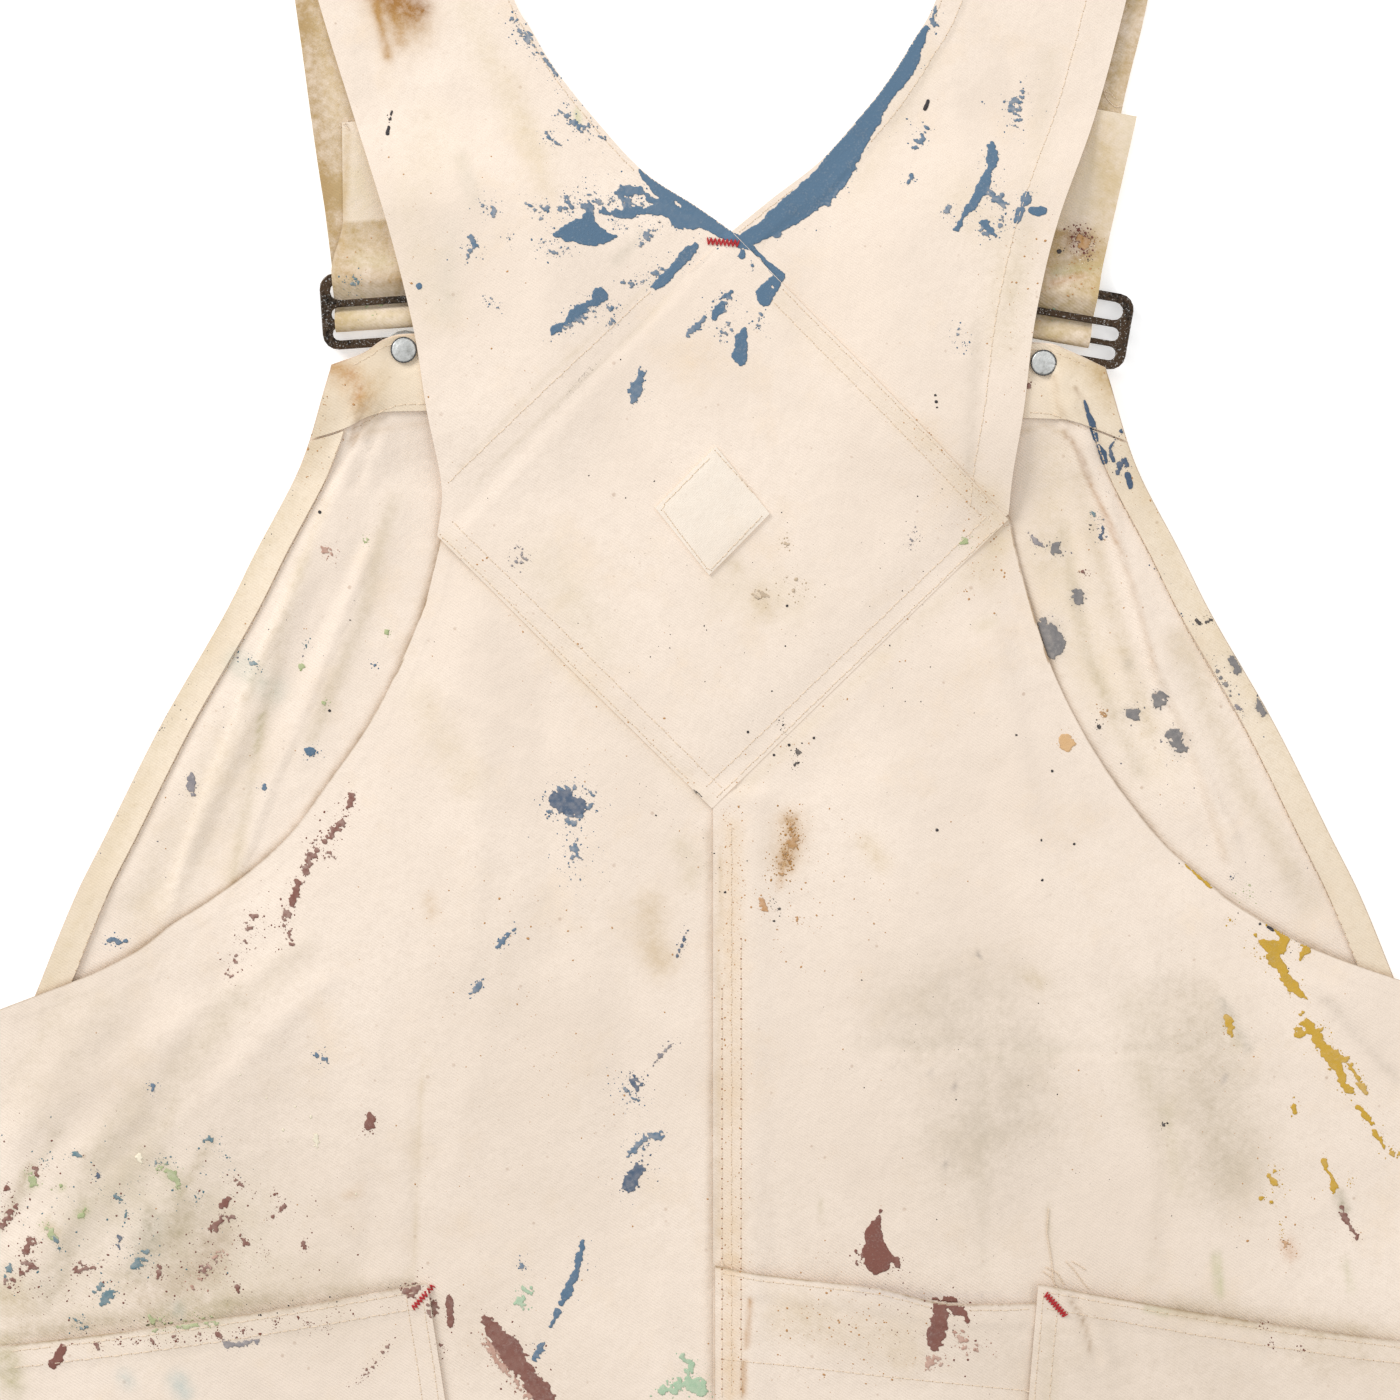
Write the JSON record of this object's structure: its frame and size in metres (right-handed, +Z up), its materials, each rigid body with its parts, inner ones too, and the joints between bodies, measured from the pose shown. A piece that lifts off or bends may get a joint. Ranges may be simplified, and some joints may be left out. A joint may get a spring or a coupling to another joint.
{
  "type": "bib overalls",
  "caption": "Cotton drill bib overalls laid flat on their front: crossed back straps with slide buckles, bib, two legs, patch pockets and a bare square label, splashed with dried paint.",
  "frame": {"origin": "middle of the garment's outline on the surface it lies on, under all of it", "axes": "+Z up from that surface, +Y from the leg hems towards the shoulders, +X to the right in the picture, which shows the back"},
  "size_m": [0.6124, 1.5315, 0.0107],
  "materials": {
    "drill_cloth": "cream cotton drill, worn, with dried paint",
    "facing_cloth": "turned hems of the same drill, soiled",
    "strap_cloth": "doubled cotton drill strap, soiled",
    "label_cloth": "plain woven label with nothing on it",
    "aged_steel": "dark, rusted pressed steel",
    "zinc": "dull zinc plated steel"
  },
  "bodies": {
    "root": {"back_left": "drill_cloth", "back_right": "drill_cloth", "bib": "drill_cloth", "bib_facing_left": "facing_cloth", "bib_facing_right": "facing_cloth", "bib_top_facing": "facing_cloth", "buckle_left": "aged_steel", "buckle_right": "aged_steel", "button_left": "zinc", "button_right": "zinc", "front_left": "drill_cloth", "front_right": "drill_cloth", "label": "label_cloth", "pocket_brush": "drill_cloth", "pocket_left": "drill_cloth", "pocket_right": "drill_cloth", "rivet_left": "zinc", "rivet_right": "zinc", "strap_left": "strap_cloth", "strap_right": "strap_cloth"}
  },
  "joints": []
}
